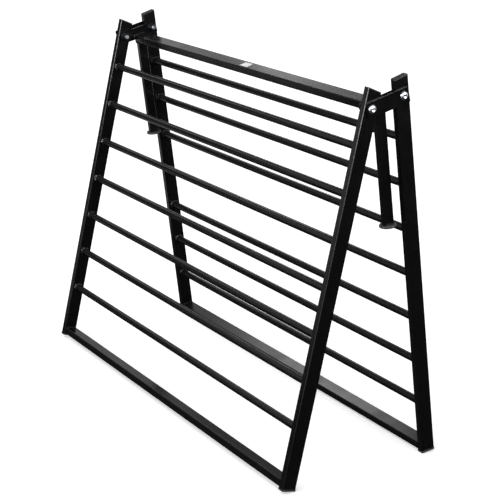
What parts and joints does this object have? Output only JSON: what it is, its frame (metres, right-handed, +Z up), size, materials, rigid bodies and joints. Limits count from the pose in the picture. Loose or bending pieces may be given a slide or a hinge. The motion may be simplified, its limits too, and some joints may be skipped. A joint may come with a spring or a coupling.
{
  "type": "folding rung rack",
  "caption": "Free-standing folding A-frame rack of black steel tube: two wide rung frames hinged on a head with a top bar and drop legs.",
  "frame": {"origin": "middle of the footprint, on the floor", "axes": "+X to the right along the rungs, +Z up, -Y the front side, where the frame leans more"},
  "size_m": [1.29, 0.4598, 0.9799],
  "materials": {
    "coat": "semi-gloss black powder coat",
    "zinc": "bright zinc plate",
    "plastic": "black moulded polyethylene",
    "rubber": "dark rubber, slightly dusty",
    "nylon": "black nylon"
  },
  "bodies": {
    "head": {"outer_plate_left": "coat", "outer_plate_right": "coat", "inner_plate_left": "coat", "inner_plate_right": "coat", "top_bar": "coat", "drop_leg_left": "coat", "drop_leg_right": "coat", "leg_foot_left": "rubber", "leg_foot_right": "rubber", "pivot_sleeves": "zinc", "pivot_bolts": "zinc", "nut_washers": "zinc", "lock_nuts": "zinc", "thrust_washers": "nylon", "locking_rings": "nylon"},
    "front_frame": {"front_rail_left": "coat", "front_rail_right": "coat", "front_bottom_bar": "coat", "front_rung_1": "coat", "front_rung_2": "coat", "front_rung_3": "coat", "front_rung_4": "coat", "front_rung_5": "coat", "front_rung_6": "coat", "front_rung_7": "coat", "front_cap_left": "plastic", "front_cap_right": "plastic", "front_foot_left": "plastic", "front_foot_right": "plastic"},
    "back_frame": {"back_rail_left": "coat", "back_rail_right": "coat", "back_bottom_bar": "coat", "back_rung_1": "coat", "back_rung_2": "coat", "back_rung_3": "coat", "back_rung_4": "coat", "back_rung_5": "coat", "back_rung_6": "coat", "back_rung_7": "coat", "back_cap_left": "plastic", "back_cap_right": "plastic", "back_foot_left": "plastic", "back_foot_right": "plastic"}
  },
  "joints": [
    {"name": "front_hinge", "type": "hinge", "parent": "head", "child": "front_frame", "pos_m": [0, 0.01977, 0.90898], "axis": [-1, 0, 0], "range_deg": [-20.5, 52.44]},
    {"name": "back_hinge", "type": "hinge", "parent": "head", "child": "back_frame", "pos_m": [0, 0.10941, 0.92968], "axis": [1, 0, 0], "range_deg": [0, 86.55]}
  ]
}
